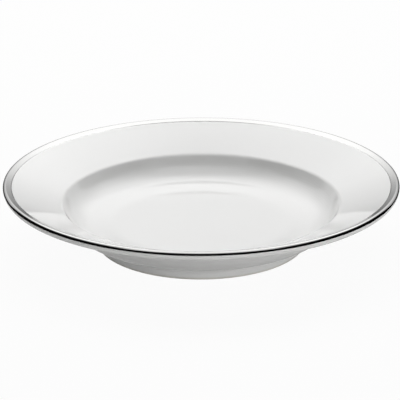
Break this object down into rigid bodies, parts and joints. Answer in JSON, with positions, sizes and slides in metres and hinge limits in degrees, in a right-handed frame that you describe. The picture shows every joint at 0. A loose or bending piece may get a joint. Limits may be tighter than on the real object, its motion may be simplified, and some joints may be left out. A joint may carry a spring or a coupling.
{
  "type": "deep plate",
  "caption": "Round porcelain deep plate with a broad sloping rim, steep-walled well, foot ring and a bright metal band on its edge, for serving soup or pasta.",
  "frame": {"origin": "middle of the circle that the foot ring stands on, on the table surface", "axes": "+Z is the plate's axis of revolution, up through the well; X and Y are equivalent"},
  "size_m": [0.24, 0.24, 0.0397],
  "materials": {
    "bisque_porcelain": "unglazed, matt",
    "clear_glaze": "clear gloss glaze over white porcelain",
    "platinum_lustre": "bright fired metal lustre"
  },
  "bodies": {
    "root": {"porcelain_body": "bisque_porcelain", "main_glaze": "clear_glaze", "base_glaze": "clear_glaze", "platinum_band": "platinum_lustre"}
  },
  "joints": []
}
